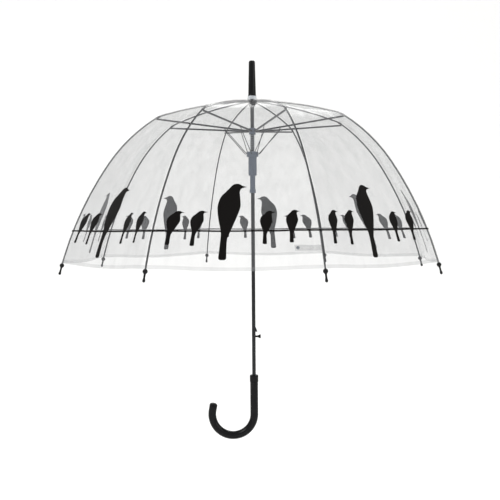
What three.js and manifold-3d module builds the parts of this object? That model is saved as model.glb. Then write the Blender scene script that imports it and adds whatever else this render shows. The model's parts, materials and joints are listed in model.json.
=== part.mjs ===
// Clear bubble umbrella, open. Millimetres, +Z up.
// The origin is on the shaft's axis in the middle of the hand grip. The crook curls towards -X and the
// release button points to +X. Heights written "below the crown" count down from the dome's top.
import * as THREE from 'three';
import { mergeVertices } from 'three/addons/utils/BufferGeometryUtils.js';
import Module from 'manifold-3d';

const wasm = await Module();
wasm.setup();

// ---- driving dimensions ----
const CROWN_Z = 630;                 // top of the dome above the middle of the grip
const RIB_COUNT = 8;
const FIRST_RIB_DEG = 17.35;         // azimuth of rib 1, from -Y towards +X
const GAP = 0.3;                     // clearance between pieces that touch

// the dome's profile from the crown to the rib tips: arcs that run from one downward slope to the next
const DOME_ARCS = [
  { radius: 844, from: 4, to: 17.5, steps: 5 },   // flat crown
  { radius: 60, from: 17.5, to: 33, steps: 3 },   // shoulder at the strut joints
  { radius: 350, from: 33, to: 56, steps: 6 },    // upper skirt
  { radius: 700, from: 56, to: 76, steps: 7 },    // lower skirt
];
const FILM_SOLID = 1.2;              // thickness of the canopy's plain solid
const CROWN_HOLE_R = 9;

const RIB_WIDTH = 2.4;
const RIB_HEIGHT = 2.6;
const RIB_CLEARANCE = 0.8;           // film to rib
const RIB_PIVOT_R = 10;
const RIB_INNER_END = 0.8;           // inner rib ends this far before the strut joint
const RIB_OUTER_START = 0.5;         // outer rib starts this far after it
const RIB_EYE = 1;                   // rib beyond its pivot at the notch
const TIP_LENGTH = 24;
const TIP_BALL_R = 4.5;
const TIP_NECK_R = 2;
const TIP_BULB_R = 2.7;
const TIP_BORE_DEPTH = 6;

const SHAFT_R = 4;
const SHAFT_BOTTOM_Z = -5;
const FERRULE_BASE_R = 8.75;
const FERRULE_TOP_R = 6.75;
const FERRULE_FLAT_R = 5.2;
const FERRULE_LENGTH = 75.4;
const FERRULE_WALL = 14;             // solid end above the shaft
const COLLAR_R = 11.75;
const COLLAR_HEIGHT = 8.3;
const NOTCH_R = 7.8;
const NOTCH_HEIGHT = 11;

const HUB_DROP = 67;                 // strut pivots below the crown
const HUB_R = 6.2;
const HUB_FLANGE_R = 7.3;
const HUB_HEIGHT = 14;
const STRUT_PIVOT_R = 8.8;
const STRUT_WIDTH = 2.4;
const STRUT_HEIGHT = 3.4;
const STRUT_BELOW_RIB = 1.8;         // strut's outer pivot below the rib's middle
const SIDE_GAP = 0.4;                // sideways clearance between rib, strut and wire
const WIRE_R = 0.8;
const WIRE_ALONG_STRUT = 57;         // wire pivot, from the hub pivot
const WIRE_PIVOT_R = 14.2;

const RUNNER_DROP = 111;             // runner's top below the crown
const RUNNER_COLLAR_R = 13;
const RUNNER_COLLAR_HEIGHT = 10.7;
const RUNNER_BODY_R = 8.9;
const RUNNER_BODY_HEIGHT = 40.5;
const RUNNER_TUBE_R = 5.6;
const RUNNER_TUBE_HEIGHT = 29.3;
const RUNNER_FLANGE_R = 6.8;
const RUNNER_FLANGE_HEIGHT = 7.5;
const RUNNER_SLOT_HEIGHT = 22;       // window for the catch, open at the bottom
const SPRING_CLEARANCE = 0.95;       // shaft to spring
const SPRING_WIRE_R = 0.55;
const SPRING_TURNS = 15;
const SPRING_POCKET = 38;            // depth of the spring's seat in the runner

const CATCH_DROP = 491;
const CATCH_THICKNESS = 1.6;
const CATCH_REACH = 8;
const BUTTON_DROP = 506;
const BUTTON_STEM_R = 2;
const BUTTON_HEAD_R = 4.7;
const BUTTON_REACH = 15;             // from the shaft's axis to the button's face
const PRESS_TRAVEL = 3.3;            // how far the button and the catch go in

const GRIP_TOP_Z = 42;
const GRIP_R = 8.5;
const GRIP_COLLAR_R = 9.3;
const GRIP_COLLAR_HEIGHT = 15;
const GRIP_CHAMFER = 1.5;
const CROOK_TOP_Z = -42;             // where the straight grip meets the crook
const CROOK_R = 45;
const CROOK_SWEEP_DEG = 190;
const CROOK_END_STRAIGHT = 11;
const END_PLUG_LENGTH = 5.5;

const STRAP_LENGTH = 70;
const STRAP_WIDTH = 16;
const STRAP_THICKNESS = 0.8;
const STRAP_ABOVE_HEM = 14;
const STRAP_PANEL = 3;               // the panel after rib 4, counted from zero
const STUD_R = 4.5;
const STUD_HEIGHT = 2.2;
const STRAP_FROM_RIB = 6;
const STRAP_LIFT = 0.6;              // strap above the film's plain solid

// ---- materials ----
const finish = (color, roughness, metalness = 0, opacity = 1) => new THREE.MeshStandardMaterial({
  color, roughness, metalness, opacity, transparent: opacity < 1,
});
const FILM = finish('#e9eced', 0.15, 0, 0.3);
const RIB = finish('#2b2d31', 0.45);
const STEEL = finish('#3a3d42', 0.35, 0.9);
const SPRING_STEEL = finish('#8d9298', 0.3, 0.9);
const BLACK = finish('#141416', 0.25);
const CLEAR = finish('#b9bfc4', 0.25, 0, 0.6);
const STUD = finish('#56687a', 0.35);

// ---- small helpers ----
const rad = THREE.MathUtils.degToRad;
const model = new THREE.Group();

function add(parent, name, geometry, material) {
  const mesh = new THREE.Mesh(geometry, material);
  mesh.name = name;
  parent.add(mesh);
  return mesh;
}

// a turned shape about Z from [radius, height] pairs: up on the outside, down on the inside
function turned(pairs, sides = 24, startDeg = 0) {
  const points = pairs.map(([r, z]) => new THREE.Vector2(r, z));
  return new THREE.LatheGeometry(points, sides, rad(startDeg)).rotateX(Math.PI / 2);
}

function ring(outer, bore) {
  const first = outer[0];
  const last = outer[outer.length - 1];
  return [...outer, [bore, last[1]], [bore, first[1]], first];
}

function solid(geometry) {
  const bare = geometry.clone();
  bare.deleteAttribute('normal');
  bare.deleteAttribute('uv');
  const merged = mergeVertices(bare, 1e-4);
  return new wasm.Manifold(new wasm.Mesh({
    numProp: 3,
    vertProperties: new Float32Array(merged.attributes.position.array),
    triVerts: new Uint32Array(merged.index.array),
  }));
}

function cut(geometry, ...tools) {
  const mesh = tools.reduce((body, tool) => body.subtract(solid(tool)), solid(geometry)).getMesh();
  const result = new THREE.BufferGeometry();
  result.setAttribute('position', new THREE.BufferAttribute(new Float32Array(mesh.vertProperties), 3));
  result.setIndex(new THREE.BufferAttribute(new Uint32Array(mesh.triVerts), 1));
  return result;
}

// a block between two corners
function block(low, high) {
  const size = high.map((value, k) => value - low[k]);
  return new THREE.BoxGeometry(...size).translate(...low.map((value, k) => value + size[k] / 2));
}

// ---- the dome's profile ----
const arcLength = (arc) => arc.radius * rad(arc.to - arc.from);
const PROFILE_LENGTH = DOME_ARCS.reduce((sum, arc) => sum + arcLength(arc), 0);
const JOINT_S = arcLength(DOME_ARCS[0]) + arcLength(DOME_ARCS[1]);

// radius, height below the crown and slope at a distance along the profile, moved out by offset
function profileAt(s, offset = 0) {
  let [r, z, left] = [0, 0, s];
  for (const arc of DOME_ARCS) {
    const start = rad(arc.from);
    const length = arcLength(arc);
    const isLast = arc === DOME_ARCS[DOME_ARCS.length - 1];
    if (left <= length || isLast) {
      const slope = start + left / arc.radius;
      r += arc.radius * (Math.sin(slope) - Math.sin(start)) + offset * Math.sin(slope);
      z -= arc.radius * (Math.cos(start) - Math.cos(slope)) - offset * Math.cos(slope);
      return { r, z, slope };
    }
    const end = rad(arc.to);
    r += arc.radius * (Math.sin(end) - Math.sin(start));
    z -= arc.radius * (Math.cos(start) - Math.cos(end));
    left -= length;
  }
}

// the same stations serve the film and the ribs, so that their facets stay parallel
const STATIONS = [];
let arcStart = 0;
for (const arc of DOME_ARCS) {
  for (let k = 0; k < arc.steps; k += 1) STATIONS.push(arcStart + arcLength(arc) * k / arc.steps);
  arcStart += arcLength(arc);
}

function profilePoints(from, to, offset) {
  const between = STATIONS.filter((s) => s > from + 1 && s < to - 1);
  return [from, ...between, to].map((s) => {
    const { r, z } = profileAt(s, offset);
    return [r, z];
  });
}

// ---- canopy ----
const FILM_END = PROFILE_LENGTH - TIP_LENGTH - GAP;

function canopyGeometry() {
  const outside = profilePoints(CROWN_HOLE_R, FILM_END, FILM_SOLID / 2).reverse();
  const inside = profilePoints(CROWN_HOLE_R, FILM_END, -FILM_SOLID / 2);
  return turned([...outside, ...inside, outside[0]], RIB_COUNT, FIRST_RIB_DEG);
}

const crown = new THREE.Group();
crown.position.z = CROWN_Z;
model.add(crown);
add(crown, 'canopy', canopyGeometry(), FILM);

// ---- ribs, tips, struts and wires: flat shapes in each rib's own upright plane ----
const RIB_DROP = FILM_SOLID / 2 + RIB_CLEARANCE + RIB_HEIGHT / 2;   // film's middle to rib's middle
const RIB_JOINT = profileAt(JOINT_S, -RIB_DROP);
const STRUT_SIDE = (RIB_WIDTH + STRUT_WIDTH) / 2 + SIDE_GAP;
const WIRE_SIDE = STRUT_SIDE + STRUT_WIDTH / 2 + SIDE_GAP + WIRE_R;
const RUNNER_TOP_Z = -RUNNER_DROP;
const WIRE_PIVOT_Z = RUNNER_TOP_Z - RUNNER_COLLAR_HEIGHT / 2;

// X runs out from the axis, Y up, and Z backwards round the shaft
function ribPlane(index) {
  const azimuth = rad(FIRST_RIB_DEG + index * 360 / RIB_COUNT);
  const out = new THREE.Vector3(Math.sin(azimuth), -Math.cos(azimuth), 0);
  const back = new THREE.Vector3(-Math.cos(azimuth), -Math.sin(azimuth), 0);
  const plane = new THREE.Group();
  plane.setRotationFromMatrix(new THREE.Matrix4().makeBasis(out, new THREE.Vector3(0, 0, 1), back));
  crown.add(plane);
  return plane;
}

// an outline of [out, up] pairs, width thick, its middle at a distance sideways from the plane
function slab(outline, width, side = 0) {
  const shape = new THREE.Shape(outline.map(([x, y]) => new THREE.Vector2(x, y)));
  const flat = new THREE.ExtrudeGeometry(shape, { depth: width, bevelEnabled: false });
  return flat.translate(0, 0, -side - width / 2);
}

function ribGeometry(from, to) {
  const top = profilePoints(from, to, -RIB_DROP + RIB_HEIGHT / 2);
  const bottom = profilePoints(from, to, -RIB_DROP - RIB_HEIGHT / 2);
  return slab([...bottom, ...top.reverse()], RIB_WIDTH);
}

function bar(start, end, height, width, side) {
  const along = new THREE.Vector2(end[0] - start[0], end[1] - start[1]).normalize();
  const up = [-along.y * height / 2, along.x * height / 2];
  return slab([
    [start[0] - up[0], start[1] - up[1]],
    [end[0] - up[0], end[1] - up[1]],
    [end[0] + up[0], end[1] + up[1]],
    [start[0] + up[0], start[1] + up[1]],
  ], width, side);
}

function tipGeometry() {
  const bore = Math.hypot(RIB_WIDTH, RIB_HEIGHT) / 2 + GAP;
  const ball = [30, 60, 90, 120, 145].map((deg) => [
    TIP_BALL_R * Math.sin(rad(deg)), TIP_BALL_R * (1 - Math.cos(rad(deg))),
  ]);
  const bulb = [[TIP_NECK_R, TIP_LENGTH - 7], [TIP_BULB_R, TIP_LENGTH - 4], [TIP_NECK_R, TIP_LENGTH - 0.6]];
  const outline = [[0, TIP_BORE_DEPTH], [bore, TIP_BORE_DEPTH], [bore, 0.3], ...ball, ...bulb, [0, TIP_LENGTH]];
  return new THREE.LatheGeometry(outline.map(([r, y]) => new THREE.Vector2(r, y)), 10);
}

function wireGeometry(start, end) {
  const length = Math.hypot(end[0] - start[0], end[1] - start[1]);
  const turn = Math.atan2(end[1] - start[1], end[0] - start[0]) - Math.PI / 2;
  return new THREE.CylinderGeometry(WIRE_R, WIRE_R, length, 8).translate(0, length / 2, 0)
    .rotateZ(turn).translate(start[0], start[1], -WIRE_SIDE);
}

const STRUT_START = [STRUT_PIVOT_R, -HUB_DROP];
const STRUT_END = [RIB_JOINT.r, RIB_JOINT.z - STRUT_BELOW_RIB];
const strutSlope = Math.atan2(STRUT_END[1] - STRUT_START[1], STRUT_END[0] - STRUT_START[0]);
const WIRE_TOP = [
  STRUT_START[0] + WIRE_ALONG_STRUT * Math.cos(strutSlope),
  STRUT_START[1] + WIRE_ALONG_STRUT * Math.sin(strutSlope),
];
const RIB_END = PROFILE_LENGTH - TIP_LENGTH + TIP_BORE_DEPTH - GAP;

for (let index = 0; index < RIB_COUNT; index += 1) {
  const plane = ribPlane(index);
  const number = index + 1;
  const inner = ribGeometry(RIB_PIVOT_R - RIB_EYE, JOINT_S - RIB_INNER_END);
  const outer = ribGeometry(JOINT_S + RIB_OUTER_START, RIB_END);
  add(plane, `rib_inner_${number}`, inner, RIB);
  add(plane, `rib_outer_${number}`, outer, RIB);
  const tip = add(plane, `rib_tip_${number}`, tipGeometry(), BLACK);
  const seat = profileAt(PROFILE_LENGTH - TIP_LENGTH, -RIB_DROP);
  tip.position.set(seat.r, seat.z, 0);
  tip.rotation.z = -Math.PI / 2 - profileAt(PROFILE_LENGTH - TIP_LENGTH / 2).slope;
  add(plane, `strut_${number}`,
    bar(STRUT_START, STRUT_END, STRUT_HEIGHT, STRUT_WIDTH, STRUT_SIDE), STEEL);
  add(plane, `strut_wire_${number}`, wireGeometry([WIRE_PIVOT_R, WIRE_PIVOT_Z], WIRE_TOP), STEEL);
}

// ---- shaft, ferrule and crown ----
const BORE_R = SHAFT_R + GAP;
const FERRULE_BASE_Z = COLLAR_HEIGHT + GAP;
const FERRULE_TOP_Z = FERRULE_BASE_Z + FERRULE_LENGTH;
const FERRULE_BORE_Z = FERRULE_TOP_Z - FERRULE_WALL;
const NOTCH_TOP_Z = -RIB_DROP - 0.2;

function shaftGeometry() {
  const top = CROWN_Z + FERRULE_BORE_Z - GAP;
  const rod = turned([[0, SHAFT_BOTTOM_Z], [SHAFT_R, SHAFT_BOTTOM_Z], [SHAFT_R, top], [0, top]]);
  const catchZ = CROWN_Z - CATCH_DROP;
  const half = CATCH_THICKNESS / 2 + GAP;
  const slot = block([-SHAFT_R + 0.8, -half, catchZ - 6], [SHAFT_R + 1, half, catchZ + 6]);
  const bore = new THREE.CylinderGeometry(BUTTON_STEM_R + GAP, BUTTON_STEM_R + GAP, SHAFT_R + 3, 16)
    .rotateZ(Math.PI / 2).translate(SHAFT_R / 2 + 0.5, 0, CROWN_Z - BUTTON_DROP);
  return cut(rod, slot, bore);
}

add(model, 'shaft', shaftGeometry(), STEEL);
add(crown, 'ferrule', turned([
  [0, FERRULE_BORE_Z], [BORE_R, FERRULE_BORE_Z], [BORE_R, FERRULE_BASE_Z], [FERRULE_BASE_R, FERRULE_BASE_Z],
  [FERRULE_TOP_R, FERRULE_TOP_Z - 2.5], [FERRULE_TOP_R - 0.5, FERRULE_TOP_Z - 0.8],
  [FERRULE_FLAT_R, FERRULE_TOP_Z], [0, FERRULE_TOP_Z],
]), BLACK);
add(crown, 'crown_collar', turned(ring([
  [COLLAR_R, FILM_SOLID / 2 + GAP], [COLLAR_R, 2.5], [FERRULE_BASE_R + 0.6, COLLAR_HEIGHT],
], BORE_R)), CLEAR);
add(crown, 'rib_notch', turned(ring([
  [NOTCH_R, NOTCH_TOP_Z - NOTCH_HEIGHT], [NOTCH_R, NOTCH_TOP_Z],
], BORE_R)), BLACK);

// ---- hub, spring and runner ----
const HUB_BOTTOM_Z = -HUB_DROP - HUB_HEIGHT / 2;
add(crown, 'strut_hub', turned(ring([
  [HUB_FLANGE_R, HUB_BOTTOM_Z], [HUB_FLANGE_R, HUB_BOTTOM_Z + 3], [HUB_R, HUB_BOTTOM_Z + 4],
  [HUB_R, HUB_BOTTOM_Z + HUB_HEIGHT - 4], [HUB_FLANGE_R, HUB_BOTTOM_Z + HUB_HEIGHT - 3],
  [HUB_FLANGE_R, HUB_BOTTOM_Z + HUB_HEIGHT],
], BORE_R)), BLACK);

class Helix extends THREE.Curve {
  constructor(radius, bottom, top, turns) {
    super();
    Object.assign(this, { radius, bottom, top, turns });
  }

  getPoint(t) {
    const angle = 2 * Math.PI * this.turns * t;
    return new THREE.Vector3(
      this.radius * Math.cos(angle), this.radius * Math.sin(angle), this.bottom + (this.top - this.bottom) * t);
  }
}

// a round or many-sided rod along a curve
function rod(curve, radius, sides, steps) {
  const corners = Array.from({ length: sides }, (_, k) => {
    const angle = 2 * Math.PI * k / sides;
    return new THREE.Vector2(radius * Math.cos(angle), radius * Math.sin(angle));
  });
  return new THREE.ExtrudeGeometry(new THREE.Shape(corners), { steps, extrudePath: curve });
}

const SPRING_MEAN_R = SHAFT_R + SPRING_CLEARANCE + SPRING_WIRE_R;
const SPRING_BOTTOM_Z = RUNNER_TOP_Z - SPRING_POCKET + SPRING_WIRE_R + GAP;
const SPRING_TOP_Z = HUB_BOTTOM_Z - SPRING_WIRE_R - GAP;
const springLine = new Helix(SPRING_MEAN_R, SPRING_BOTTOM_Z, SPRING_TOP_Z, SPRING_TURNS);
add(crown, 'opening_spring', rod(springLine, SPRING_WIRE_R, 5, SPRING_TURNS * 10), SPRING_STEEL);

function runnerGeometry() {
  const pocket = SPRING_MEAN_R + SPRING_WIRE_R + GAP;
  const collarBottom = RUNNER_TOP_Z - RUNNER_COLLAR_HEIGHT;
  const bodyBottom = collarBottom - RUNNER_BODY_HEIGHT;
  const tubeBottom = bodyBottom - RUNNER_TUBE_HEIGHT;
  const bottom = tubeBottom - RUNNER_FLANGE_HEIGHT;
  const body = turned([
    [BORE_R, bottom], [RUNNER_FLANGE_R, bottom], [RUNNER_FLANGE_R, tubeBottom], [RUNNER_TUBE_R, tubeBottom],
    [RUNNER_TUBE_R, bodyBottom], [RUNNER_BODY_R - 1, bodyBottom], [RUNNER_BODY_R, bodyBottom + 1],
    [RUNNER_BODY_R, collarBottom], [RUNNER_COLLAR_R, collarBottom], [RUNNER_COLLAR_R, RUNNER_TOP_Z],
    [pocket, RUNNER_TOP_Z], [pocket, RUNNER_TOP_Z - SPRING_POCKET], [BORE_R, RUNNER_TOP_Z - SPRING_POCKET],
    [BORE_R, bottom],
  ]);
  const half = CATCH_THICKNESS / 2 + 2 * GAP;
  return cut(body, block([SHAFT_R - 1, -half, bottom - 1], [CATCH_REACH + 1, half, bottom + RUNNER_SLOT_HEIGHT]));
}
add(crown, 'runner', runnerGeometry(), BLACK);

// ---- catch and release button ----
function catchGeometry() {
  const inner = SHAFT_R - PRESS_TRAVEL;
  const outline = [[inner, -5], [CATCH_REACH, -5], [SHAFT_R + 0.4, 5], [inner, 5]];
  return slab(outline, CATCH_THICKNESS).rotateX(Math.PI / 2).translate(0, 0, -CATCH_DROP);
}

function buttonGeometry() {
  const inner = SHAFT_R - 1.8;
  const flare = SHAFT_R + PRESS_TRAVEL + 0.8;
  const outline = [
    [0, inner], [BUTTON_STEM_R, inner], [BUTTON_STEM_R, flare], [BUTTON_HEAD_R, BUTTON_REACH - 1.2],
    [BUTTON_HEAD_R - 0.9, BUTTON_REACH], [0, BUTTON_REACH],
  ];
  return turned(outline, 18).rotateY(Math.PI / 2).translate(0, 0, -BUTTON_DROP);
}
add(crown, 'catch', catchGeometry(), STEEL);
add(crown, 'release_button', buttonGeometry(), BLACK);

// ---- handle ----
class Crook extends THREE.Curve {
  constructor(top) {
    super();
    this.straight = top - CROOK_TOP_Z;
    this.top = top;
    this.arc = CROOK_R * rad(CROOK_SWEEP_DEG);
    this.total = this.straight + this.arc + CROOK_END_STRAIGHT;
  }

  getPoint(t) {
    const s = t * this.total;
    if (s < this.straight) return new THREE.Vector3(0, 0, this.top - s);
    const turn = Math.min(s - this.straight, this.arc) / CROOK_R;
    const beyond = Math.max(0, s - this.straight - this.arc);
    return new THREE.Vector3(
      -CROOK_R + CROOK_R * Math.cos(turn) - beyond * Math.sin(turn), 0,
      CROOK_TOP_Z - CROOK_R * Math.sin(turn) - beyond * Math.cos(turn));
  }
}

const COLLAR_BOTTOM_Z = GRIP_TOP_Z - GRIP_COLLAR_HEIGHT;
const crook = new Crook(COLLAR_BOTTOM_Z - GAP);
const gripBore = new THREE.CylinderGeometry(BORE_R, BORE_R, COLLAR_BOTTOM_Z - SHAFT_BOTTOM_Z + 2, 24)
  .rotateX(Math.PI / 2).translate(0, 0, (COLLAR_BOTTOM_Z + SHAFT_BOTTOM_Z) / 2 + 0.5);
add(model, 'handle', cut(rod(crook, GRIP_R, 20, 56), gripBore), BLACK);
add(model, 'handle_collar', turned(ring([
  [GRIP_COLLAR_R, COLLAR_BOTTOM_Z], [GRIP_COLLAR_R, GRIP_TOP_Z - GRIP_CHAMFER],
  [GRIP_COLLAR_R - GRIP_CHAMFER, GRIP_TOP_Z],
], BORE_R)), BLACK);

function endPlug() {
  const dome = [0, 25, 50, 72].map((deg) => [
    GRIP_R * Math.cos(rad(deg)), GAP + 0.8 + (END_PLUG_LENGTH - 0.8) * Math.sin(rad(deg)),
  ]);
  const plug = add(model, 'handle_end_plug',
    turned([[0, GAP], [GRIP_R, GAP], ...dome, [0, GAP + END_PLUG_LENGTH]], 20), BLACK);
  plug.position.copy(crook.getPoint(1));
  plug.rotation.y = rad(CROOK_SWEEP_DEG - 180);
}
endPlug();

// ---- closing strap and its press stud, on the outside of one panel near the hem ----
function strapFrame() {
  const middle = profileAt(FILM_END - STRAP_ABOVE_HEM, FILM_SOLID / 2);
  const azimuth = rad(FIRST_RIB_DEG + (STRAP_PANEL + 0.5) * 360 / RIB_COUNT);
  const half = Math.PI / RIB_COUNT;
  const out = new THREE.Vector3(Math.sin(azimuth), -Math.cos(azimuth), 0);
  const flatSlope = Math.atan(Math.tan(middle.slope) / Math.cos(half));
  const normal = out.clone().multiplyScalar(Math.sin(flatSlope));
  normal.z = Math.cos(flatSlope);
  const along = new THREE.Vector3(Math.cos(azimuth), Math.sin(azimuth), 0);
  const frame = new THREE.Group();
  frame.setRotationFromMatrix(
    new THREE.Matrix4().makeBasis(along, new THREE.Vector3().crossVectors(normal, along), normal));
  frame.position.copy(out.multiplyScalar(middle.r * Math.cos(half)));
  frame.position.z = middle.z;
  frame.userData.halfPanel = middle.r * Math.sin(half);
  crown.add(frame);
  return frame;
}

const strap = strapFrame();
const strapStart = -strap.userData.halfPanel + STRAP_FROM_RIB;
add(strap, 'closing_strap', block(
  [strapStart, -STRAP_WIDTH / 2, STRAP_LIFT],
  [strapStart + STRAP_LENGTH, STRAP_WIDTH / 2, STRAP_LIFT + STRAP_THICKNESS]), CLEAR);
const stud = turned([
  [0, 0], [STUD_R, 0], [STUD_R, STUD_HEIGHT - 0.8], [STUD_R - 1.4, STUD_HEIGHT], [0, STUD_HEIGHT],
], 16);
add(strap, 'strap_stud', stud.translate(
  strapStart + STRAP_LENGTH - STRAP_WIDTH / 2, 0, STRAP_LIFT + STRAP_THICKNESS + GAP), STUD);

export default model;
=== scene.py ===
import bisect
import json
import math

import bmesh
import bpy
from mathutils import Matrix, Vector


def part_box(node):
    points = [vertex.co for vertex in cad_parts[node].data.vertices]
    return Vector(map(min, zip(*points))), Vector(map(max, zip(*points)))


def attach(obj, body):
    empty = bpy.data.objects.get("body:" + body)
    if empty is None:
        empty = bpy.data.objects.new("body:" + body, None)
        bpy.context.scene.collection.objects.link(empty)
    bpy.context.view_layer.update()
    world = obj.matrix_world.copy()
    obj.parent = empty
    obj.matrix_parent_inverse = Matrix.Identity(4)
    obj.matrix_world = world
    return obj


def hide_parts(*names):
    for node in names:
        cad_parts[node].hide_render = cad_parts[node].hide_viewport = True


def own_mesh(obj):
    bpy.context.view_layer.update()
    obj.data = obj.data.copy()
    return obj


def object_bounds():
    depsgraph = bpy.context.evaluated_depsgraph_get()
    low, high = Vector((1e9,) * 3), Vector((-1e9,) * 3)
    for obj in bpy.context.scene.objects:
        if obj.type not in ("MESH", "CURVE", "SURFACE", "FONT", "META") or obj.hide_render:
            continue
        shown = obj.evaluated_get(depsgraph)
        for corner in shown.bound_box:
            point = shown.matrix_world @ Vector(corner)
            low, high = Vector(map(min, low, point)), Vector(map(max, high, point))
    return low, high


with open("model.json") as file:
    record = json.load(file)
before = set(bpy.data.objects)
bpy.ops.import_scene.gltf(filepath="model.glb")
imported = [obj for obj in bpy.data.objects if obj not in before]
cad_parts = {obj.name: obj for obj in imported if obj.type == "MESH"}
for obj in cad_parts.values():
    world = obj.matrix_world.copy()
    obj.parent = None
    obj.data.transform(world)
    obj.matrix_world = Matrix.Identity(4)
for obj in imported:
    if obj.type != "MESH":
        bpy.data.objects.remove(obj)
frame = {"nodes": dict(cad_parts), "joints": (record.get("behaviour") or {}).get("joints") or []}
CAD_BOX = [list(corner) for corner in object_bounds()]

bl_info = {
    "name": "Bubble umbrella",
    "version": (1, 0, 0),
    "blender": (4, 5, 0),
    "location": "3D View > Sidebar > Umbrella",
    "description": "Builds a clear dome umbrella with a printed film canopy round its packed frame",
    "category": "Object",
}

MM = 0.001
RIBS = 8
HALF_GORE = math.pi / RIBS
# the dome along a rib, in metres: radius of each arc and its downward slope at start and end
DOME_ARCS = ((0.844, 4, 17.5), (0.060, 17.5, 33), (0.350, 33, 56), (0.700, 56, 76))
ARC_LENGTHS = [radius * math.radians(end - start) for radius, start, end in DOME_ARCS]
SHOULDER = sum(ARC_LENGTHS[:2])
TIP_LENGTH = 24 * MM
TIP_BALL_R = 4.5 * MM
HEM = sum(ARC_LENGTHS) - TIP_LENGTH
CROWN_HOLE = 9 * MM
SHAFT_HOLE = 4.3 * MM
JOINTS = {joint["name"]: joint for joint in frame["joints"]}
COLLAR_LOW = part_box("crown_collar")[0]
COLLAR_ABOVE_CROWN = 0.9 * MM
CROWN_Z = COLLAR_LOW[2] - COLLAR_ABOVE_CROWN
# the panels hang loose from halfway to the shoulder, fully so this much further down
SETTLE_LENGTH = 0.15
# the film's ripples, in radians: per metre down the rib, across a panel, and per metre of slant
RIPPLES_DOWN, RIPPLES_ACROSS, RIPPLES_SLANT = 31, 23, 9
SHIFT_DOWN, SHIFT_ACROSS = 2.1, 1.3     # from one panel to the next


# ---------------------------------------------------------------- geometry helpers
def rib_azimuth(index):
    """Angle of a rib round the shaft, from -Y towards +X, read from its pivot in the frame."""
    x, y, _ = JOINTS[f"rib_pivot_{index % RIBS + 1}"]["pos_m"]
    return math.atan2(x, -y)


def rib_body(index, part):
    return f"rib_{part}_{index % RIBS + 1}"


def profile(s):
    """Radius, height below the crown and slope at a distance along the rib from the crown."""
    r = z = 0.0
    for (radius, start, end), length in zip(DOME_ARCS, ARC_LENGTHS):
        a = math.radians(start)
        last = end == DOME_ARCS[-1][2]
        if s <= length or last:
            slope = a + s / radius
            r += radius * (math.sin(slope) - math.sin(a))
            z -= radius * (math.cos(a) - math.cos(slope))
            return r, z, slope
        b = math.radians(end)
        r += radius * (math.sin(b) - math.sin(a))
        z -= radius * (math.cos(a) - math.cos(b))
        s -= length


PROFILE_STEPS = 600
HEIGHT_TABLE = [-profile(HEM * k / PROFILE_STEPS)[1] for k in range(PROFILE_STEPS + 1)]


def distance_at_height(below):
    """How far along the rib the film is a given height below the crown."""
    k = bisect.bisect_left(HEIGHT_TABLE, below)
    k = min(max(k, 1), PROFILE_STEPS)
    low, high = HEIGHT_TABLE[k - 1], HEIGHT_TABLE[k]
    return HEM * (k - 1 + (below - low) / (high - low)) / PROFILE_STEPS


def film_point(panel, across, s):
    """A point on the film.

    across goes from 0 at the panel's left rib, seen from outside, to 1 at its right rib.
    """
    r, z, slope = profile(s)
    middle = rib_azimuth(panel) + HALF_GORE
    out = Vector((math.sin(middle), -math.cos(middle), 0))
    side = Vector((math.cos(middle), math.sin(middle), 0))
    flatness = math.sin(math.pi * across) ** 2
    settle = min(1, max(0, (s - SHOULDER * 0.5) / SETTLE_LENGTH))
    sag = sizes().panel_sag * flatness * settle
    ripple = math.sin(2 * math.pi * across) ** 2 * settle
    wave = math.sin(s * RIPPLES_DOWN + panel * SHIFT_DOWN)
    wave *= math.sin(across * RIPPLES_ACROSS + panel * SHIFT_ACROSS + s * RIPPLES_SLANT)
    depth = sag + sizes().ripple * ripple * wave
    normal = out * math.sin(slope) + Vector((0, 0, math.cos(slope)))
    base = out * (r * math.cos(HALF_GORE)) + side * (r * math.sin(HALF_GORE) * (2 * across - 1))
    return base + Vector((0, 0, CROWN_Z + z)) - normal * depth


def film_normal(panel, across, s):
    step = 0.4 * MM
    along = film_point(panel, across, s + step) - film_point(panel, across, s - step)
    over = film_point(panel, across + 0.002, s) - film_point(panel, across - 0.002, s)
    normal = along.cross(over)
    if normal.z < 0 and abs(normal.z) > 1e-12:
        normal = -normal
    return normal.normalized()


def mesh_object(name, vertices, faces, material, normals=None):
    mesh = bpy.data.meshes.new(name)
    mesh.from_pydata([tuple(v) for v in vertices], [], faces)
    mesh.polygons.foreach_set("use_smooth", [True] * len(mesh.polygons))
    mesh.materials.append(material)
    if normals:
        mesh.normals_split_custom_set_from_vertices([tuple(n) for n in normals])
    mesh.update()
    obj = bpy.data.objects.new(name, mesh)
    bpy.context.scene.collection.objects.link(obj)
    return obj


SHARP_ANGLE = math.radians(35)
SHARP_ROD_ANGLE = math.radians(40)


def turned(name, outline, material, segments=64, place=None):
    """A turned piece from [radius, height] pairs in metres, up on the outside; a radius of 0 closes it."""
    vertices, rows = [], []
    for radius, height in outline:
        if radius == 0:
            rows.append([len(vertices)] * segments)
            vertices.append(Vector((0, 0, height)))
            continue
        rows.append(list(range(len(vertices), len(vertices) + segments)))
        for k in range(segments):
            angle = 2 * math.pi * k / segments
            vertices.append(Vector((radius * math.cos(angle), radius * math.sin(angle), height)))
    faces = []
    for low, high in zip(rows, rows[1:]):
        for k in range(segments):
            n = (k + 1) % segments
            corners = list(dict.fromkeys((low[k], low[n], high[n], high[k])))
            if len(corners) > 2:
                faces.append(corners)
    if place:
        vertices = [place @ v for v in vertices]
    obj = mesh_object(name, vertices, faces, material)
    obj.data.set_sharp_from_angle(angle=SHARP_ANGLE)
    return obj


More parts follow.
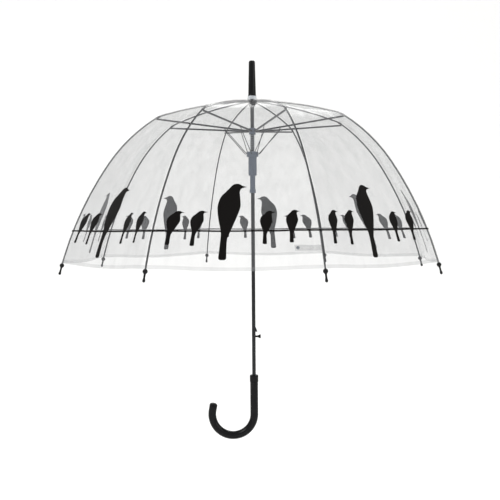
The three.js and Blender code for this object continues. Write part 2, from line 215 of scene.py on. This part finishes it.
def rounded(outline, radius, steps=4):
    """The outline with its inner corners cut to arcs of about the given radius."""
    result = [outline[0]]
    for before, corner, after in zip(outline, outline[1:], outline[2:]):
        a, b, c = (Vector((*p, 0)) for p in (before, corner, after))
        reach = min(radius, (a - b).length * 0.45, (c - b).length * 0.45)
        start = b + (a - b).normalized() * reach
        end = b + (c - b).normalized() * reach
        for k in range(steps + 1):
            t = k / steps
            point = start * (1 - t) ** 2 + b * 2 * t * (1 - t) + end * t ** 2
            result.append((point.x, point.y))
    return result + [outline[-1]]


def swept(name, points, radius, material, sides=32):
    """A round rod along points, its rings turned as little as possible from one to the next."""
    vertices, faces = [], []
    normal = None
    for k, point in enumerate(points):
        ahead = points[min(k + 1, len(points) - 1)] - points[max(k - 1, 0)]
        ahead.normalize()
        if normal is None:
            normal = ahead.orthogonal().normalized()
        normal = (normal - ahead * normal.dot(ahead)).normalized()
        side = ahead.cross(normal)
        for j in range(sides):
            angle = 2 * math.pi * j / sides
            vertices.append(point + radius * (normal * math.cos(angle) + side * math.sin(angle)))
    for k in range(len(points) - 1):
        for j in range(sides):
            n = (j + 1) % sides
            a, b = k * sides, (k + 1) * sides
            faces.append((a + j, a + n, b + n, b + j))
    faces.append(tuple(reversed(range(sides))))
    faces.append(tuple(range(len(vertices) - sides, len(vertices))))
    obj = mesh_object(name, vertices, faces, material)
    obj.data.set_sharp_from_angle(angle=SHARP_ROD_ANGLE)
    return obj


def stands_for(obj, body, slot, *nodes):
    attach(obj, body)
    if nodes:
        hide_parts(*nodes)
    return obj


# ---------------------------------------------------------------- materials
def linear(code):
    """An sRGB hex colour such as 1f2023 as linear red, green, blue and alpha 1."""
    parts = [int(code[k:k + 2], 16) / 255 for k in (0, 2, 4)]
    return [c / 12.92 if c <= 0.04045 else ((c + 0.055) / 1.055) ** 2.4 for c in parts] + [1.0]


def node(tree, kind, settings=None, **inputs):
    """Adds a node with its settings. An input is i and its number, or its name; it takes a value or a link."""
    made = tree.nodes.new(kind)
    for key, value in (settings or {}).items():
        setattr(made, key, value)
    for key, value in inputs.items():
        numbered = key[0] == "i" and key[1:].isdigit()
        socket = made.inputs[int(key[1:]) if numbered else key]
        if isinstance(value, bpy.types.NodeSocket):
            tree.links.new(value, socket)
        else:
            socket.default_value = value
    return made


def start_material(name):
    material = bpy.data.materials.get(name)
    if material:
        return material, None, None
    material = bpy.data.materials.new(name)
    material.use_nodes = True
    tree = material.node_tree
    shader = next(n for n in tree.nodes if n.type == "BSDF_PRINCIPLED")
    return material, tree, shader


CLOUD_SIZE = 18 * MM


def surface(name, color, roughness, grain_mm, bump, metallic=0.0, ior=None, spread=0.08, alpha=1.0,
            specular=0.5):
    """A finish whose fine grain varies its roughness, colour and height.

    grain_mm is the grain's real size, and spread is how far roughness and colour stray from their values.
    """
    material, tree, shader = start_material(name)
    if tree is None:
        return material
    place = node(tree, "ShaderNodeTexCoord").outputs["Object"]
    grain = node(tree, "ShaderNodeTexNoise", Vector=place, Scale=1 / (grain_mm * MM), Detail=4.0)
    cloud = node(tree, "ShaderNodeTexNoise", Vector=place, Scale=1 / CLOUD_SIZE, Detail=3.0)
    rough = node(tree, "ShaderNodeMapRange", i0=grain.outputs["Fac"], i1=0.3, i2=0.7,
                 i3=roughness * (1 - spread * 2), i4=roughness * (1 + spread * 2))
    tint = node(tree, "ShaderNodeMixRGB", i0=cloud.outputs["Fac"],
                i1=linear(color), i2=[min(1, c * (1 + spread * 2)) for c in linear(color)[:3]] + [1])
    height = node(tree, "ShaderNodeBump", Strength=bump, Distance=grain_mm * MM * 0.3,
                  Height=grain.outputs["Fac"])
    tree.links.new(tint.outputs[0], shader.inputs["Base Color"])
    tree.links.new(rough.outputs[0], shader.inputs["Roughness"])
    tree.links.new(height.outputs[0], shader.inputs["Normal"])
    shader.inputs["Metallic"].default_value = metallic
    shader.inputs["Alpha"].default_value = alpha
    shader.inputs["Specular IOR Level"].default_value = specular
    if ior:
        shader.inputs["IOR"].default_value = ior
    return material


def black_abs():
    # moulded ABS polished by its mould: deep black with sharp highlights
    return surface("abs_moulded_gloss_black", colors().plastic, 0.12, 0.9, 0.04, ior=1.53, specular=0.15)


def black_nylon():
    # moulded nylon of the rib tips: a little softer shine, fine pebble of the mould
    return surface("nylon_moulded_black", colors().plastic, 0.34, 0.5, 0.12, ior=1.53, specular=0.2)


def enamelled_steel():
    # dark enamel sprayed on a drawn steel tube: even satin gloss over faint orange peel
    return surface("steel_enamelled_gunmetal", colors().enamel, 0.27, 1.2, 0.08, metallic=0.55)


def fibre_rod():
    # pulled glass-fibre rod: dark grey, faint lengthwise streaks, dull gloss
    return surface("glass_fibre_pultruded", colors().fibre, 0.38, 0.4, 0.15, ior=1.52)


def spring_wire():
    # zinc-plated spring wire: bright grey metal, slightly uneven plating
    return surface("spring_steel_zinc_plated", "a9adb2", 0.28, 0.5, 0.06, metallic=1.0)


def clear_styrene():
    # clear moulded polystyrene: greyish, with bright rims
    return surface("polystyrene_moulded_clear", "c6cbd0", 0.14, 1.5, 0.04, ior=1.59, alpha=0.62)


def smoke_nylon():
    # nylon slider moulded in smoke grey: half gloss, slightly waxy
    return surface("nylon_moulded_smoke_grey", "495260", 0.3, 0.8, 0.06, ior=1.53)


def stud_plastic():
    # acetal press stud: blue-grey with a soft moulded shine
    return surface("acetal_moulded_blue_grey", colors().stud, 0.32, 0.5, 0.08, ior=1.48)


def print_ink():
    # solvent ink screened on film: flat black with a slight gloss from the film below
    return surface("screen_ink_black", colors().ink, 0.5, 0.3, 0.1, ior=1.5, specular=0.06)


STREAK_WIDTH = 22 * MM
CREASE_SPACING = 85 * MM


def film_material():
    # calendered PVC film: clear, with a faint milky haze, soft creases and a welded hem
    material, tree, shader = start_material("pvc_film_calendered_clear")
    if tree is None:
        return material
    haze = sizes().film_haze
    place = node(tree, "ShaderNodeTexCoord").outputs["Object"]
    # how far a point is from the nearest rib, and from the hem
    distances = node(tree, "ShaderNodeUVMap", {"uv_map": "edges"})
    edges = node(tree, "ShaderNodeSeparateXYZ", Vector=distances.outputs[0])
    stretched = node(tree, "ShaderNodeMapping", Vector=place, Scale=(1.0, 1.0, 0.22))
    # streaks about four times as long as wide, from the rolls that pressed the film
    streaks = node(tree, "ShaderNodeTexNoise", Vector=stretched.outputs[0], Scale=1 / STREAK_WIDTH, Detail=5.0,
                   Distortion=0.6)
    crease = node(tree, "ShaderNodeTexNoise", {"noise_type": "RIDGED_MULTIFRACTAL"}, Vector=place,
                  Scale=1 / CREASE_SPACING, Detail=3.0, Roughness=0.35)
    streak_haze = node(tree, "ShaderNodeMapRange", i0=streaks.outputs["Fac"], i1=0.42, i2=0.72,
                       i3=0.0, i4=0.06).outputs[0]
    grazing = node(tree, "ShaderNodeLayerWeight", Blend=0.28)
    edge_haze = node(tree, "ShaderNodeMath", {"operation": "MULTIPLY"}, i0=grazing.outputs["Facing"], i1=0.3)
    total = node(tree, "ShaderNodeMath", {"operation": "ADD"}, i0=edge_haze.outputs[0], i1=streak_haze)
    total = node(tree, "ShaderNodeMath", {"operation": "ADD"}, i0=total.outputs[0], i1=haze)
    # film that lies on a rib looks wet, so the haze clears within about 2.5 mm of one
    near_rib = node(tree, "ShaderNodeMapRange", i0=edges.outputs[0], i1=1.6 * MM, i2=3.4 * MM, i3=0.25, i4=1.0)
    cleared = node(tree, "ShaderNodeMath", {"operation": "MULTIPLY"}, i0=total.outputs[0],
                   i1=near_rib.outputs[0])
    # the hem is welded double, 7 mm wide
    hem = node(tree, "ShaderNodeMapRange", i0=edges.outputs[1], i1=6.6 * MM, i2=7.2 * MM, i3=0.16, i4=0.0)
    alpha = node(tree, "ShaderNodeMath", {"operation": "ADD", "use_clamp": True}, i0=cleared.outputs[0],
                 i1=hem.outputs[0])
    bump = node(tree, "ShaderNodeBump", Strength=0.35, Distance=1.2 * MM, Height=crease.outputs["Fac"])
    fine = node(tree, "ShaderNodeBump", Strength=0.12, Distance=0.4 * MM, Height=streaks.outputs["Fac"],
                Normal=bump.outputs[0])
    tree.links.new(alpha.outputs[0], shader.inputs["Alpha"])
    tree.links.new(fine.outputs[0], shader.inputs["Normal"])
    shader.inputs["Base Color"].default_value = linear(colors().film)
    shader.inputs["Roughness"].default_value = 0.13
    shader.inputs["IOR"].default_value = 1.53
    return material


# ---------------------------------------------------------------- properties
class UmbrellaSizes(bpy.types.PropertyGroup):
    panel_sag: bpy.props.FloatProperty(
        name="Panel sag", description="How far a panel draws in between its ribs",
        default=3 * MM, unit="LENGTH")
    ripple: bpy.props.FloatProperty(
        name="Ripple", description="Height of the film's loose ripples", default=1.3 * MM, unit="LENGTH")
    hem_arch: bpy.props.FloatProperty(
        name="Hem arch", description="How much higher the hem is between two ribs; below zero it hangs lower",
        default=-4 * MM, unit="LENGTH")
    film_haze: bpy.props.FloatProperty(
        name="Film haze", description="Share of light the film scatters where it is seen square on",
        default=0.165, min=0, max=1, subtype="FACTOR")
    wire_drop: bpy.props.FloatProperty(
        name="Printed wire", description="Height of the printed wire below the crown",
        default=0.277, unit="LENGTH")
    wire_width: bpy.props.FloatProperty(
        name="Wire width", description="Width of the printed wire", default=3 * MM, unit="LENGTH")
    eye_level: bpy.props.FloatProperty(
        name="Eye level", description="Height of the camera below the crown", default=0.2686, unit="LENGTH")
    camera_distance: bpy.props.FloatProperty(
        name="Camera distance", description="From the shaft to the camera", default=1.740, unit="LENGTH")


class UmbrellaColors(bpy.types.PropertyGroup):
    film: bpy.props.StringProperty(name="Film", description="sRGB hex of the film's haze", default="8b8c8e")
    ink: bpy.props.StringProperty(name="Ink", description="sRGB hex of the print", default="0b0908")
    plastic: bpy.props.StringProperty(name="Plastic", description="sRGB hex of the handle", default="08080a")
    enamel: bpy.props.StringProperty(name="Enamel", description="sRGB hex of the shaft", default="1f2023")
    fibre: bpy.props.StringProperty(name="Ribs", description="sRGB hex of the ribs", default="1b1d20")
    stud: bpy.props.StringProperty(name="Stud", description="sRGB hex of the press stud", default="5d7183")


def sizes():
    return bpy.context.scene.umbrella_sizes


def colors():
    return bpy.context.scene.umbrella_colors


# ---------------------------------------------------------------- canopy
PETAL_COLUMNS = 24
INNER_ROWS = 14
OUTER_ROWS = 44


def squash_to_rib(obj):
    """Gives the piece a mesh of its own."""
    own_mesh(obj)


def petal_place(index, column):
    """The panel and the share across it for a column of the petal round rib index."""
    share = column / PETAL_COLUMNS - 0.5
    return (index, share) if share >= 0 else (index - 1, 1 + share)


def petal(index, part):
    """The film from the middle of one panel to the middle of the next, round one rib."""
    rows = INNER_ROWS if part == "inner" else OUTER_ROWS
    vertices, normals, edges, faces = [], [], [], []
    for row in range(rows + 1):
        for column in range(PETAL_COLUMNS + 1):
            panel, across = petal_place(index, column)
            low, high = (CROWN_HOLE, SHOULDER) if part == "inner" else (SHOULDER, HEM)
            if part == "outer":
                high -= sizes().hem_arch * math.sin(math.pi * across) ** 1.5 - 0.8 * MM
            s = low + (high - low) * row / rows
            vertices.append(film_point(panel, across, s))
            normals.append(film_normal(panel, across, s))
            chord = 2 * profile(s)[0] * math.sin(HALF_GORE)
            edges.append((chord * min(across, 1 - across), high - s if part == "outer" else 1.0))
    width = PETAL_COLUMNS + 1
    for row in range(rows):
        for column in range(PETAL_COLUMNS):
            a = row * width + column
            faces.append((a, a + width, a + width + 1, a + 1))
    obj = mesh_object(f"film_{part}_{index + 1}", vertices, faces, film_material(), normals=normals)
    layer = obj.data.uv_layers.new(name="edges")
    for loop in obj.data.loops:
        layer.data[loop.index].uv = edges[loop.vertex_index]
    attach(obj, rib_body(index, part))
    return obj


def petal_flat_size(part):
    start, end = (CROWN_HOLE, SHOULDER) if part == "inner" else (SHOULDER, HEM)
    return 2.02 * profile(end)[0] * math.sin(HALF_GORE), (end - start) * 1.01


# a perched bird seen from its side, facing +X, as corners in millimetres about its feet on the wire;
# a repeated corner is sharp
BIRD_OUTLINE = (
    (30, 86), (30, 86), (21, 89), (17.5, 91.5), (11, 93), (4, 90.5), (-3, 82), (-8, 76), (-16, 66), (-20.5, 50),
    (-20, 35), (-17, 18), (-13, 1), (-12.5, -14), (-15, -48), (-15, -48), (-12.5, -51), (-3.5, -51), (-1, -48),
    (-1, -48), (-1, -17), (3, -4), (8, 9), (15, 28), (20, 46), (19, 62), (17.5, 76), (20.5, 83),
)
BIRD_TOP, BIRD_BOTTOM, BIRD_HALF = 93, 51, 25.5
# share across the panel, height above the wire, depth below it and width, in millimetres
BIRDS = (
    (0.12, 38, 25, 29),
    (0.265, 38, 27, 29),
    (0.455, 92, 52, 50),
    (0.685, 37, 24, 27),
    (0.84, 38, 22, 26),
)
SPLINE_STEPS = 6
PRINT_LIFT = 0.35 * MM
BAND = 7 * MM                           # width of the strips a flat shape is cut into
BAND_SHIFT = 0.011 * MM                 # keeps the cuts off the shape's own corners
WIDEST_SHAPE = 0.16                     # half the width that the cuts cover
TINY_AREA = 1e-12


def smooth_outline(corners):
    """A closed Catmull-Rom curve through the corners."""
    points = []
    count = len(corners)
    for k in range(count):
        a, b, c, d = (Vector(corners[(k + j) % count]) for j in (-1, 0, 1, 2))
        if (b - c).length < 1e-9:
            continue
        for step in range(SPLINE_STEPS):
            t = step / SPLINE_STEPS
            points.append(0.5 * (2 * b + (c - a) * t + (2 * a - 5 * b + 4 * c - d) * t ** 2
                                 + (3 * b - a - 3 * c + d) * t ** 3))
    return points


def bird_shape(above, below, width):
    shape = []
    for x, y in smooth_outline(BIRD_OUTLINE):
        y = y * above / BIRD_TOP if y > 0 else y * below / BIRD_BOTTOM
        shape.append((x * width / (2 * BIRD_HALF) * MM, y * MM))
    return shape


def band_shape(half_width, half_height):
    return [(-half_width, -half_height), (half_width, -half_height), (half_width, half_height),
            (-half_width, half_height)]


def lay_on_film(bm, shape, panel, centre, s_wire):
    """Adds a flat shape to bm, cut into bands and laid on the outside of the film."""
    flat = bmesh.new()
    flat.faces.new([flat.verts.new((x, y, 0)) for x, y in shape])
    bmesh.ops.triangulate(flat, faces=flat.faces[:])
    low = min(y for _, y in shape)
    high = max(y for _, y in shape)
    for axis, start, end in ((1, low, high), (0, -WIDEST_SHAPE, WIDEST_SHAPE)):
        for k in range(math.ceil(start / BAND), math.floor(end / BAND) + 1):
            at = [0, 0, 0]
            at[axis] = k * BAND + BAND_SHIFT
            direction = [0, 0, 0]
            direction[axis] = 1
            bmesh.ops.bisect_plane(flat, geom=flat.verts[:] + flat.edges[:] + flat.faces[:],
                                   plane_co=at, plane_no=direction)
    placed = {}
    for vertex in flat.verts:
        s = s_wire - vertex.co.y
        chord = 2 * profile(s)[0] * math.sin(HALF_GORE)
        across = centre + vertex.co.x / chord
        point = film_point(panel, across, s) + film_normal(panel, across, s) * PRINT_LIFT
        placed[vertex] = bm.verts.new(point)
    for face in flat.faces:
        if face.calc_area() > TINY_AREA:
            bm.faces.new([placed[v] for v in face.verts])
    flat.free()


def print_on_petal(index):
    """The printed wire and the birds whose feet stand on one petal."""
    s_wire = distance_at_height(sizes().wire_drop)
    chord = 2 * profile(s_wire)[0] * math.sin(HALF_GORE)
    bm = bmesh.new()
    for panel, middle in ((index, 0.25), (index - 1, 0.75)):
        band = band_shape(chord / 4, sizes().wire_width / 2)
        lay_on_film(bm, band, panel, middle, s_wire)
        for share, above, below, width in BIRDS:
            if (share < 0.5) == (middle < 0.5):
                lay_on_film(bm, bird_shape(above, below, width), panel, share, s_wire)
    bmesh.ops.recalc_face_normals(bm, faces=bm.faces[:])
    mesh = bpy.data.meshes.new(f"bird_print_{index + 1}")
    bm.to_mesh(mesh)
    bm.free()
    mesh.materials.append(print_ink())
    obj = bpy.data.objects.new(mesh.name, mesh)
    bpy.context.scene.collection.objects.link(obj)
    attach(obj, rib_body(index, "outer"))
    return obj


class UMBRELLA_OT_canopy(bpy.types.Operator):
    """Build the clear film of the dome and its print"""
    bl_idname = "umbrella.canopy"
    bl_label = "Canopy film"

    def execute(self, context):
        first = None
        for index in range(RIBS):
            inner, outer = petal(index, "inner"), petal(index, "outer")
            prints = print_on_petal(index)
            for obj, part, extra in ((inner, "inner", ()), (outer, "outer", (prints,))):
                petal_flat_size(part)
            for obj in (inner, outer, prints):
                squash_to_rib(obj)
            first = first or inner
        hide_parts("canopy")
        return {"FINISHED"}


# ---------------------------------------------------------------- closing strap
class UMBRELLA_OT_strap(bpy.types.Operator):
    """Build the clear closing strap and its press stud"""
    bl_idname = "umbrella.strap"
    bl_label = "Closing strap"

    def execute(self, context):
        panel = 3
        above_hem = 14 * MM
        s = HEM - above_hem
        clear_of_edges = (0.05, 0.0)
        chord = 2 * profile(s)[0] * math.sin(HALF_GORE)
        start, length, half, lift = 6 * MM, 70 * MM, 8 * MM, 0.9 * MM
        vertices, faces = [], []
        columns, rows = 20, 4
        for k in range(columns + 1):
            for j in range(rows + 1):
                down = half * (2 * j / rows - 1)
                across = (start + length * k / columns) / chord
                point = film_point(panel, across, s + down)
                vertices.append(point + film_normal(panel, across, s + down) * lift)
        for k in range(columns):
            for j in range(rows):
                a = k * (rows + 1) + j
                faces.append((a, a + rows + 1, a + rows + 2, a + 1))
        strap = mesh_object("closing_strap_film", vertices, faces, film_material())
        layer = strap.data.uv_layers.new(name="edges")
        for loop in strap.data.loops:
            layer.data[loop.index].uv = clear_of_edges
        stands_for(strap, rib_body(panel, "outer"), "pvc_film", "closing_strap")
        across = (start + length - half) / chord
        centre = film_point(panel, across, s)
        normal = film_normal(panel, across, s)
        turn = normal.to_track_quat("Z", "Y").to_matrix().to_4x4()
        place = Matrix.Translation(centre + normal * (lift + 0.2 * MM)) @ turn
        outline = [(0, 0), (4.5 * MM, 0), (4.5 * MM, 1.4 * MM), (3.2 * MM, 2.2 * MM), (2.2 * MM, 2.2 * MM),
                   (1.7 * MM, 1.6 * MM), (0, 1.6 * MM)]
        stud = turned("press_stud", rounded(outline, 0.4 * MM), stud_plastic(), 40, place)
        stands_for(stud, rib_body(panel, "outer"), "stud_plastic", "strap_stud")
        for obj in (strap, stud):
            squash_to_rib(obj)
        return {"FINISHED"}


# ---------------------------------------------------------------- frame
class UMBRELLA_OT_ribs(bpy.types.Operator):
    """Finish the ribs and struts, and build the rib tips and joint sleeves"""
    bl_idname = "umbrella.ribs"
    bl_label = "Ribs and tips"

    def execute(self, context):
        for index in range(RIBS):
            number = index + 1
            for part in ("inner", "outer"):
                finish_node(f"rib_{part}_{number}", fibre_rod())
            finish_node(f"strut_{number}", enamelled_steel())
            finish_node(f"strut_wire_{number}", enamelled_steel())
            self.tip(index)
            self.sleeve(index)
        return {"FINISHED"}

    def tip(self, index):
        azimuth = rib_azimuth(index)
        out = Vector((math.sin(azimuth), -math.cos(azimuth), 0))
        r, z, slope = profile(HEM)
        under = 2.7 * MM
        seat = out * (r - under * math.sin(slope)) + Vector((0, 0, CROWN_Z + z - under * math.cos(slope)))
        slope = profile(HEM + TIP_LENGTH / 2)[2]
        down = out * math.cos(slope) - Vector((0, 0, math.sin(slope)))
        turn = down.to_track_quat("Z", "Y").to_matrix().to_4x4()
        ball = [(TIP_BALL_R * math.sin(math.radians(a)), TIP_BALL_R * (1 - math.cos(math.radians(a))))
                for a in range(25, 150, 9)]
        end = [(1.9, 9.5), (1.8, 15.5), (2.2, 18), (2.65, 20), (2.65, 21.5), (1.9, 23.2)]
        bore, bore_depth = 2.07 * MM, 6 * MM
        outline = [(0, bore_depth), (bore, bore_depth), (bore, 0.4 * MM), *ball,
                   *((a * MM, b * MM) for a, b in end), (0, 24 * MM)]
        obj = turned(f"tip_cap_{index + 1}", outline, black_nylon(), 32, Matrix.Translation(seat) @ turn)
        stands_for(obj, rib_body(index, "outer"), "black_plastic", f"rib_tip_{index + 1}")

    def sleeve(self, index):
        """The steel clip at the strut joint that holds both parts of the rib."""
        x, y, z = JOINTS[f"rib_bend_{index + 1}"]["pos_m"]
        azimuth = rib_azimuth(index)
        out = Vector((math.sin(azimuth), -math.cos(azimuth), 0))
        slope = profile(SHOULDER)[2]
        tilt, before_joint = slope - 0.1, 9 * MM
        inward = Vector((x, y, z)) - (out * math.cos(tilt) - Vector((0, 0, math.sin(tilt)))) * before_joint
        along = (Vector((x, y, z)) - inward).normalized()
        turn = along.to_track_quat("Z", "Y").to_matrix().to_4x4()
        inside, outside, length = 1.95 * MM, 2.15 * MM, 8.4 * MM
        outline = [(inside, 0), (outside, 0), (outside, length), (inside, length), (inside, 0)]
        obj = turned(f"joint_sleeve_{index + 1}", outline, enamelled_steel(), 24,
                     Matrix.Translation(inward) @ turn)
        stands_for(obj, rib_body(index, "inner"), "painted_steel")


def finish_node(name, material):
    for slot in frame["nodes"][name].material_slots:
        slot.material = material


def upright(name, outline, material, body, slot, base, round_by=0.5 * MM, segments=64):
    """A turned piece on the shaft's axis, from [radius, height above base] pairs in millimetres."""
    points = rounded([(r * MM, base + h * MM) for r, h in outline], round_by)
    obj = turned(f"{name}_skin", points, material, segments)
    return stands_for(obj, body, slot, name)


class UMBRELLA_OT_shaft(bpy.types.Operator):
    """Finish the shaft and build the ferrule, crown, hub, runner and spring"""
    bl_idname = "umbrella.shaft"
    bl_label = "Shaft and runner"

    def execute(self, context):
        for name in ("shaft", "catch"):
            finish_node(name, enamelled_steel())
        hole = SHAFT_HOLE / MM
        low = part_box("ferrule")[0][2]
        upright("ferrule", [(hole, 0), (8.75, 0), (8.75, 1.5), (8.3, 3), (6.75, 72.6), (5.9, 74.6), (5.2, 75.4),
                            (0, 75.4)], black_abs(), "stick", "black_plastic", low, 0.7 * MM)
        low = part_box("crown_collar")[0][2]
        upright("crown_collar", [(hole, 0), (11.75, 0), (11.75, 1.4), (9.6, 3.0), (9.35, 7.4), (hole, 7.4),
                                 (hole, 0)], clear_styrene(), "stick", "clear_plastic", low)
        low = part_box("rib_notch")[0][2]
        upright("rib_notch", [(hole, 0), (6.6, 0), (6.6, 3.4), (7.8, 4), (7.8, 6.2), (7, 6.6), (7, 7.4),
                              (7.8, 7.8), (7.8, 11), (hole, 11), (hole, 0)], black_nylon(), "stick",
                "black_plastic", low, 0.25 * MM)
        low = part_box("strut_hub")[0][2]
        upright("strut_hub", [(hole, 0), (7.3, 0), (7.3, 3), (6.2, 4), (6.2, 10), (7.3, 11), (7.3, 14),
                              (hole, 14), (hole, 0)], smoke_nylon(), "hub", "black_plastic", low, 0.4 * MM)
        self.runner()
        self.spring()
        self.button()
        return {"FINISHED"}

    def runner(self):
        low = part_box("runner")[0][2]
        flange = [(4.3, 0), (6.8, 0), (6.8, 7.5)]
        tube = [(5.6, 7.9), (5.6, 36.8), (7.9, 36.8), (8.9, 38), (8.9, 76.4)]
        collar = [(11.6, 77.3), (12.2, 77.3), (13, 78.2), (13, 80), (12.4, 80.6), (12.4, 83.6), (13, 84.2),
                  (13, 87.2), (12.2, 88)]
        spring_seat = [(6.35, 88), (6.35, 50), (4.3, 50), (4.3, 0)]
        upright("runner", flange + tube + collar + spring_seat, smoke_nylon(), "runner", "black_plastic", low,
                0.5 * MM, 72)

    def spring(self):
        low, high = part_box("opening_spring")
        wire, radius = 0.55 * MM, 5.5 * MM
        turns, steps = 15, 28
        bottom, top = low[2] + wire, high[2] - wire
        points = []
        for k in range(turns * steps + 1):
            angle = 2 * math.pi * k / steps
            points.append(Vector((radius * math.cos(angle), radius * math.sin(angle),
                                  bottom + (top - bottom) * k / (turns * steps))))
        obj = swept("opening_spring_wire", points, wire, spring_wire(), 10)
        stands_for(obj, "runner", "spring_steel", "opening_spring")
        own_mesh(obj)

    def button(self):
        low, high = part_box("release_button")
        z = (low[2] + high[2]) / 2
        stem, dish = 2 * MM, high[0] - 0.5 * MM
        outline = [(0, low[0]), (stem, low[0]), (stem, 8.1 * MM), (3.4 * MM, 11.6 * MM), (4.7 * MM, 13.8 * MM),
                   (3.8 * MM, high[0]), (2.6 * MM, high[0]), (1.2 * MM, dish), (0, dish)]
        turn = Matrix.Translation((0, 0, z)) @ Matrix.Rotation(math.pi / 2, 4, "Y")
        obj = turned("release_button_skin", rounded(outline, 0.4 * MM), black_abs(), 40, turn)
        stands_for(obj, "button", "black_plastic", "release_button")


class UMBRELLA_OT_handle(bpy.types.Operator):
    """Build the crook handle with its collar and end plug"""
    bl_idname = "umbrella.handle"
    bl_label = "Handle"

    def execute(self, context):
        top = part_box("handle")[1][2]
        radius, crook = 8.5 * MM, 45 * MM
        crook_top = -42 * MM
        sweep, straight = math.radians(190), 11 * MM
        points = [Vector((0, 0, top + (crook_top - top) * k / 12)) for k in range(13)]
        for k in range(1, 61):
            turn = sweep * k / 60
            points.append(Vector((-crook + crook * math.cos(turn), 0, crook_top - crook * math.sin(turn))))
        lean = Vector((-math.sin(sweep), 0, -math.cos(sweep)))
        end = points[-1] + lean * straight
        points += [points[-1] + lean * straight * k / 4 for k in range(1, 5)]
        obj = swept("handle_crook", points, radius, black_abs(), 64)
        stands_for(obj, "stick", "black_plastic", "handle")
        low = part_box("handle_collar")[0][2]
        outline = [(SHAFT_HOLE / MM, 0), (9.0, 0), (9.3, 0.5), (9.3, 13.2), (8.9, 14.2), (7.8, 15),
                   (SHAFT_HOLE / MM, 15), (SHAFT_HOLE / MM, 0)]
        upright("handle_collar", outline, black_abs(), "stick", "black_plastic", low, 0.6 * MM)
        turn = lean.to_track_quat("Z", "Y").to_matrix().to_4x4()
        dome = [(0, 0.3 * MM), (8.2 * MM, 0.3 * MM), (8.5 * MM, 0.7 * MM)]
        dome += [(8.5 * MM * math.cos(math.radians(a)), (1.1 + 4.7 * math.sin(math.radians(a))) * MM)
                 for a in range(0, 90, 9)] + [(0, 5.8 * MM)]
        plug = turned("end_plug_dome", dome, black_abs(), 64, Matrix.Translation(end) @ turn)
        stands_for(plug, "stick", "black_plastic", "handle_end_plug")
        return {"FINISHED"}


# ---------------------------------------------------------------- stage
FLOOR_DROP = 0.16
LIGHTS_AIM = (0, 0, 0.35)
CAMERA_SIDE = -6.4 * MM
CAMERA_ROLL = math.radians(0.4)


class UMBRELLA_OT_stage(bpy.types.Operator):
    """Build the pale floor, the lights and the camera"""
    bl_idname = "umbrella.stage"
    bl_label = "Stage"

    def execute(self, context):
        floor_z = CAD_BOX[0][2] - FLOOR_DROP
        profile_points = [(-4.5, floor_z), (2.2, floor_z)]
        bend, wall_y = 1.0, 2.2
        profile_points += [(wall_y + bend * math.sin(a), floor_z + bend * (1 - math.cos(a)))
                           for a in (math.pi / 2 * k / 12 for k in range(1, 13))]
        profile_points.append((wall_y + bend, 4.0))
        vertices = [(x, y, z) for y, z in profile_points for x in (-6, 6)]
        faces = [(2 * k, 2 * k + 1, 2 * k + 3, 2 * k + 2) for k in range(len(profile_points) - 1)]
        paper = surface("paper_backdrop_white", "fbfbfa", 0.9, 3.0, 0.02, spread=0.01)
        mesh_object("backdrop", vertices, faces, paper)
        world = bpy.data.worlds.new("studio_white")
        context.scene.world = world
        world.use_nodes = True
        world.node_tree.nodes["Background"].inputs["Color"].default_value = (1, 1, 1, 1)
        world.node_tree.nodes["Background"].inputs["Strength"].default_value = 0.86
        self.light("key", (-1.9, -1.7, 2.3), 1.5, 34)
        self.light("fill", (2.3, -1.6, 1.3), 1.8, 14)
        self.light("back", (0.3, 1.7, 2.4), 1.6, 22)
        self.camera(context)
        context.scene.view_settings.view_transform = "Standard"
        return {"FINISHED"}

    def light(self, name, place, size, power):
        data = bpy.data.lights.new(name, "AREA")
        data.size = size
        data.energy = power
        lamp = bpy.data.objects.new(name, data)
        lamp.location = place
        lamp.rotation_euler = (Vector(LIGHTS_AIM) - Vector(place)).to_track_quat("-Z", "Y").to_euler()
        bpy.context.scene.collection.objects.link(lamp)

    def camera(self, context):
        data = bpy.data.cameras.new("camera")
        data.sensor_width = 36
        data.lens = 58.5
        data.shift_y = -0.049
        view = bpy.data.objects.new("camera", data)
        view.location = (CAMERA_SIDE, -sizes().camera_distance, CROWN_Z - sizes().eye_level)
        view.rotation_euler = (math.radians(90), CAMERA_ROLL, 0)
        context.scene.collection.objects.link(view)
        context.scene.camera = view


class UMBRELLA_PT_panel(bpy.types.Panel):
    """Lists the umbrella's sizes, colours and pieces"""
    bl_label = "Bubble umbrella"
    bl_idname = "UMBRELLA_PT_panel"
    bl_space_type = "VIEW_3D"
    bl_region_type = "UI"
    bl_category = "Umbrella"

    def draw(self, context):
        for group in (sizes(), colors()):
            for name in group.__annotations__:
                self.layout.prop(group, name)
        for operator in OPERATORS:
            self.layout.operator(operator.bl_idname)


OPERATORS = (UMBRELLA_OT_stage, UMBRELLA_OT_canopy, UMBRELLA_OT_strap, UMBRELLA_OT_ribs, UMBRELLA_OT_shaft,
             UMBRELLA_OT_handle)
CLASSES = (UmbrellaSizes, UmbrellaColors, *OPERATORS, UMBRELLA_PT_panel)


def register():
    for cls in CLASSES:
        bpy.utils.register_class(cls)
    bpy.types.Scene.umbrella_sizes = bpy.props.PointerProperty(type=UmbrellaSizes)
    bpy.types.Scene.umbrella_colors = bpy.props.PointerProperty(type=UmbrellaColors)


def unregister():
    del bpy.types.Scene.umbrella_colors
    del bpy.types.Scene.umbrella_sizes
    for cls in reversed(CLASSES):
        bpy.utils.unregister_class(cls)


def main():
    register()
    bpy.ops.umbrella.stage()
    bpy.ops.umbrella.canopy()
    bpy.ops.umbrella.strap()
    bpy.ops.umbrella.ribs()
    bpy.ops.umbrella.shaft()
    bpy.ops.umbrella.handle()


if __name__ == "__main__":
    main()
